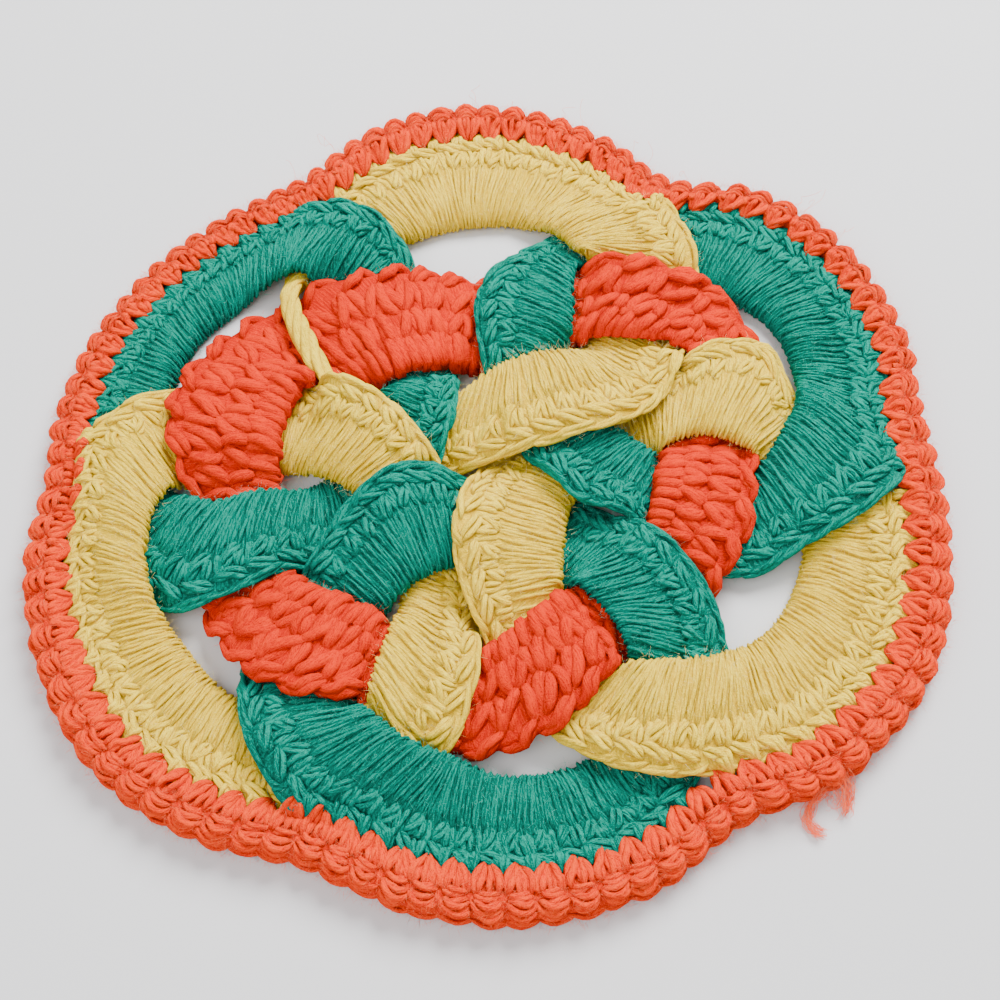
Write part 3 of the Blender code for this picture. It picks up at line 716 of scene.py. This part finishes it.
def hairs(yarn, skin, count, shares, bare=(0, 0)):
    # a thin closed spike each: a root triangle and a tip at root + length * way
    degrees = np.mod(bare[1] + spread(0, 360 - bare[1] + bare[0], count), 360)
    root, normal = skin.at(degrees, skin.across(spread(*shares, count)), spread(0.2, 1.1, count) * mm)
    way = unit(normal * spread(0.2, 1.0, (count, 1)) + spread(-0.9, 0.9, (count, 3)))
    low, high = fuzz["length"]
    length = (low + (high - low) * spread(0, 1, (count, 1)) ** 2) * mm
    radius = spread(*fuzz["radius"], (count, 1)) * mm
    side = unit(np.cross(way, unit(spread(-1, 1, (count, 3)))))
    other = np.cross(way, side)
    turns = np.arange(3) * 2 * math.pi / 3
    ends = [root + radius * (math.cos(q) * side + math.sin(q) * other) for q in turns]
    ends.append(root + length * way)
    points = np.stack(ends, axis=1)
    points[..., 2] = np.maximum(points[..., 2], 0.1 * mm)
    faces = np.array([0, 2, 1, 0, 1, 3, 1, 2, 3, 2, 0, 3])
    corners = (yarn.total + np.arange(count)[:, None] * 4 + faces).ravel()
    yarn.points.append(points.reshape(-1, 3))
    yarn.corners.append(corners)
    yarn.counts.append(np.full(count * 4, 3))
    yarn.uv.append(np.repeat(spread(0, 500, (count, 2)), 12, axis=0))
    yarn.tone.append(np.repeat(spread(0.4, 1, count), 4))
    # painted light: painted shade from 1 to 2, which the fuzz material does not read
    yarn.shade.append(np.repeat(spread(1.0, 2.0, count), 4))
    yarn.total += count * 4


def strayHairs(yarn, skin):
    # a few long loose hairs over the far side
    n = strays["count"]
    degrees = spread(*strays["angles"], n)
    root, normal = skin.at(degrees, skin.across(spread(0.7, 1.0, n)), 0.1 * mm * np.ones(n))
    t = np.linspace(0, 1, 12)[None, :, None]
    way = unit(root * np.array([1, 1, 0]) * 12 + normal + spread(-0.8, 0.8, (n, 3)))[:, None]
    wave = np.sin(t * spread(3, 9, (n, 1, 3)) + spread(0, 6.3, (n, 1, 3))) - np.sin(spread(0, 6.3, (n, 1, 3)))
    path = root[:, None] + spread(*strays["length"], (n, 1, 1)) * mm * t * (way + 0.25 * wave)
    path[..., 2] = np.maximum(path[..., 2], 0.15 * mm)
    up = np.broadcast_to(np.array([0.1, 0.2, 1.0]), path.shape)
    # painted light: a painted shade of 1.6, which the fuzz material does not read
    yarn.add(path, up, strays["radius"] * mm, strays["radius"] * mm, sides=3, shade=1.6)


for node, skin in skins.items():
    ringFuzz = Yarn(plainName(node) + "Fuzz", rings[node]["yarn"] + "Fuzz", rings[node]["yarn"] + "_yarn")
    many = fuzz["middle"] if rings[node].get("chunky") else fuzz["ring"]
    hairs(ringFuzz, skin, many, (-0.12, 1.05), rings[node].get("bare", (0, 0)))
    ringFuzz.finish()
borderFuzz = Yarn("borderFuzz", "coralFuzz", "coral_yarn")
hairs(borderFuzz, borderSkin, fuzz["border"], (0.25, 1.3))
strayHairs(borderFuzz, borderSkin)
borderFuzz.finish()
print("fuzz ready")


def plainMaterial(name, colour, roughness):
    # one even colour
    graph = Graph(name)
    graph.put(graph.shader.inputs["Base Color"], rgba(colour))
    graph.put(graph.shader.inputs["Roughness"], roughness)
    return graph.material


floorMesh = bpy.data.meshes.new("floor")
floorMesh.from_pydata([(-3, -3, 0), (3, -3, 0), (3, 3, 0), (-3, 3, 0)], [], [(0, 1, 2, 3)])
floor = bpy.data.objects.new("floor", floorMesh)
floorMesh.materials.append(plainMaterial("floorPaint", (0.62, 0.62, 0.63), 0.8))
bpy.context.scene.collection.objects.link(floor)


def areaLight(name, place, target, size, power):
    # a round soft lamp that faces the target
    light = bpy.data.lights.new(name, "AREA")
    light.shape, light.size, light.energy = "DISK", size, power
    obj = bpy.data.objects.new(name, light)
    obj.location = place
    obj.rotation_euler = (Vector(target) - Vector(place)).to_track_quat("-Z", "Y").to_euler()
    bpy.context.scene.collection.objects.link(obj)


areaLight("softKey", (0.3, 0.55, 0.7), (0, 0, 0), 0.55, 24.0)
areaLight("softFill", (-0.5, -0.5, 0.9), (0, 0, 0), 1.2, 13.0)
world = bpy.data.worlds.new("studio")
world.use_nodes = True
world.node_tree.nodes["Background"].inputs["Color"].default_value = (1, 1, 1, 1)
world.node_tree.nodes["Background"].inputs["Strength"].default_value = 0.7
bpy.context.scene.world = world

view = {"target": (2.17, -7.57, 0.0), "distance": 330.0, "elevation": 63.0, "lens": 53.64}
elevation = math.radians(view["elevation"])
cameraData = bpy.data.cameras.new("photoCamera")
cameraData.lens, cameraData.sensor_width = view["lens"], 36.0
cameraData.clip_start, cameraData.clip_end = 0.01, 20.0
camera = bpy.data.objects.new("photoCamera", cameraData)
targetX, targetY, targetZ = [v * mm for v in view["target"]]
camera.location = (targetX, targetY - view["distance"] * mm * math.cos(elevation),
                   targetZ + view["distance"] * mm * math.sin(elevation))
camera.rotation_euler = (math.pi / 2 - elevation, 0, 0)
bpy.context.scene.collection.objects.link(camera)
bpy.context.scene.camera = camera

bpy.context.view_layer.update()
